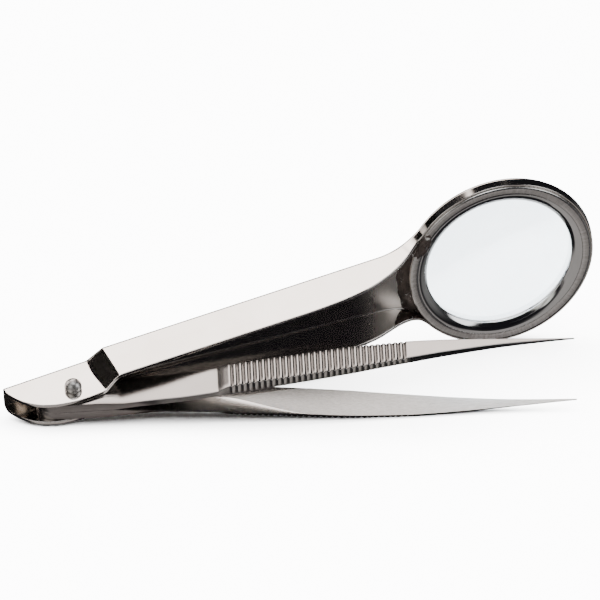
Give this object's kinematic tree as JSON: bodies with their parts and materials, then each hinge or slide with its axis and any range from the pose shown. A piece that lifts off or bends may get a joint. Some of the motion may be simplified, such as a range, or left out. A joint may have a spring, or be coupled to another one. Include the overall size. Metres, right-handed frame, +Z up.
{
  "type": "stamp tongs with swinging magnifier",
  "caption": "Pointed stamp tongs with sprung tines, ridged grips and a swinging channel arm that carries a round magnifying lens over the tips.",
  "frame": {"origin": "the middle of the footprint of the whole object's box, on the table that the tongs stand on", "axes": "+X runs along the tongs from the butt to the tips, +Z is up from the table, and +Y points away from the open side of the magnifier's channel, to the side the owner looks from"},
  "size_m": [0.121, 0.0492, 0.039],
  "materials": {
    "plated_sheet": "bright nickel-plated pressed sheet, polished",
    "satin_ring": "satin rim with fine radial lines",
    "bright_ring": "bright turned lip",
    "lens_glass": "clear polished glass",
    "solder": "dull lumpy soft solder",
    "bright_rivet": "polished ball head",
    "tongs_steel": "ground stainless steel, polished spring zone, satin inner faces and sides"
  },
  "bodies": {
    "tongs_butt": {"upper_tine_root": "tongs_steel", "lower_tine_root": "tongs_steel", "pivot_rivet": "bright_rivet"},
    "magnifier": {"magnifier_frame": "plated_sheet", "lens_holder": "satin_ring", "lens_retainer": "bright_ring", "lens": "lens_glass", "holder_solder": "solder"},
    "upper_blade": {"upper_tine_blade": "tongs_steel"},
    "lower_blade": {"lower_tine_blade": "tongs_steel"}
  },
  "joints": [
    {"name": "magnifier_swing", "type": "hinge", "parent": "tongs_butt", "child": "magnifier", "pos_m": [-0.04581, -0.01915, 0.00469], "axis": [-0.0468, -0.2872, 0.9567], "range_deg": [-12, 15]},
    {"name": "upper_blade_flex", "type": "hinge", "parent": "tongs_butt", "child": "upper_blade", "pos_m": [-0.02988, -0.01945, 0.00646], "axis": [-0.014, 0.9579, 0.2869], "range_deg": [0, 5.1], "stiffness_Nm_per_rad": 0.58},
    {"name": "lower_blade_flex", "type": "hinge", "parent": "tongs_butt", "child": "lower_blade", "pos_m": [-0.02978, -0.01885, 0.00448], "axis": [-0.014, 0.9579, 0.2869], "range_deg": [-5.1, 0], "stiffness_Nm_per_rad": 0.58}
  ],
  "couplings": [
    {"joint": "lower_blade_flex", "follows": "upper_blade_flex", "ratio": -1}
  ]
}
